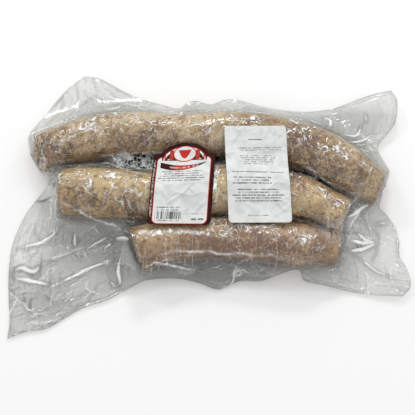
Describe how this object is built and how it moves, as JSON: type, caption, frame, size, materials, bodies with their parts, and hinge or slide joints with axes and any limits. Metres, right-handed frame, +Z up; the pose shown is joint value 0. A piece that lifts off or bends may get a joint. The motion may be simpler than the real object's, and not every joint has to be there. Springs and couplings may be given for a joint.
{
  "type": "vacuum pack of raw sausages",
  "caption": "Flat clear vacuum pack of thick raw sausages with cut ends, its crumpled film edge spread round them and paper labels on top.",
  "frame": {"origin": "on the surface it lies on, under the middle of the pack's box", "axes": "+X along the sausages to the right of the labels' print, +Y away from the reader, +Z up"},
  "size_m": [0.419, 0.29, 0.0554],
  "materials": {
    "film": "clear glossy crumpled plastic film",
    "meat": "moist coarse raw meat and fat under a thin casing",
    "label_print": "semi-gloss printed paper",
    "label_paper": "satin white paper"
  },
  "bodies": {
    "root": {"bag": "film", "weight_label": "label_print", "list_label": "label_paper"}
  },
  "joints": []
}
